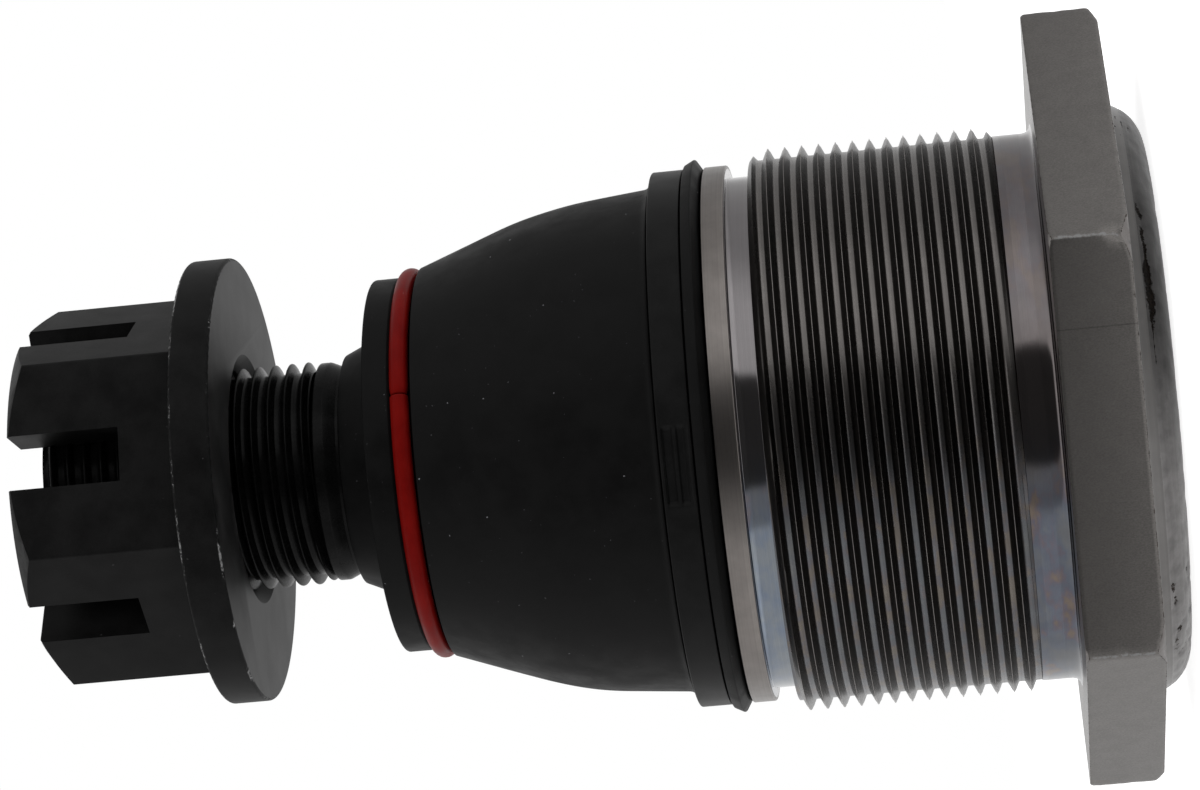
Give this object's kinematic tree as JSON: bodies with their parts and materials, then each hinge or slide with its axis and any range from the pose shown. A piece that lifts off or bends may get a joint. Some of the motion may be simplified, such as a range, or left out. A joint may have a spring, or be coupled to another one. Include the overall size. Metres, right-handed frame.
{
  "type": "suspension ball joint",
  "caption": "Screw-in suspension ball joint: hexagon-flanged threaded housing, rubber boot, and a ball stud that swings and turns, with a slotted nut on its threaded end.",
  "frame": {"origin": "centre of the crimped rim's end face, on the stud's axis", "axes": "+Z along the stud towards the nut; +X and +Y are the two swing axes"},
  "size_m": [0.0688, 0.0638, 0.1006],
  "materials": {
    "machined_steel": "bright machined steel, the hexagon left as forged",
    "plate_steel": "pressed steel",
    "spring_steel": "hardened spring steel",
    "bearing_polymer": "moulded acetal",
    "black_steel": "satin black oxide",
    "boot_rubber": "matte moulded rubber",
    "clamp_steel": "black coated spring band",
    "red_ring": "satin red coated ring",
    "phosphate_steel": "black phosphate"
  },
  "bodies": {
    "housing_body": {"housing": "machined_steel", "closing_plate": "plate_steel", "preload_spring": "spring_steel", "lower_bearing_shell": "bearing_polymer", "upper_bearing_shell": "bearing_polymer", "boot_clamp_band": "clamp_steel"},
    "boot_body": {"boot": "boot_rubber"},
    "neck_body": {"boot_seal_ring": "red_ring"},
    "stud_body": {"ball_stud": "black_steel"},
    "nut_body": {"castle_nut": "phosphate_steel"}
  },
  "joints": [
    {"name": "swing_x", "type": "hinge", "parent": "housing_body", "child": "boot_body", "pos_m": [0, 0, 0.0226], "axis": [1, 0, 0], "range_deg": [-17, 17], "deforming": ["boot"]},
    {"name": "swing_y", "type": "hinge", "parent": "boot_body", "child": "neck_body", "pos_m": [0, 0, 0.0226], "axis": [0, 1, 0], "range_deg": [-17, 17]},
    {"name": "stud_spin", "type": "hinge", "parent": "neck_body", "child": "stud_body", "pos_m": [0, 0, 0.0226], "axis": [0, 0, 1], "continuous": true},
    {"name": "nut_turn", "type": "hinge", "parent": "stud_body", "child": "nut_body", "pos_m": [0, 0, 0.0867], "axis": [0, 0, 1], "continuous": true}
  ]
}
